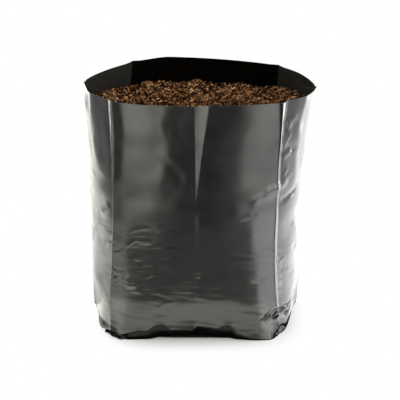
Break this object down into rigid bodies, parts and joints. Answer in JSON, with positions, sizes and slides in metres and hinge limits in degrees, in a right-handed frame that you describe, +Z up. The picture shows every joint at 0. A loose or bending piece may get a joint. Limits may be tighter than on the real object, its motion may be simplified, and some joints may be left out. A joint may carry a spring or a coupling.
{
  "type": "grow bag",
  "caption": "Open-top black polythene grow bag with side gussets and a heat-sealed flat base, standing filled with coir to just below its cut rim.",
  "frame": {"origin": "on the floor, under the middle of the bag's outer box", "axes": "+Z up from the base to the mouth, -Y towards the front panel, +X to the right as seen from the front"},
  "size_m": [0.2536, 0.2208, 0.266],
  "materials": {
    "film": "glossy black polythene film",
    "coir": "rough crumbs and fibres of coconut husk"
  },
  "bodies": {
    "root": {"film_bag": "film", "coir_fill": "coir"}
  },
  "joints": []
}
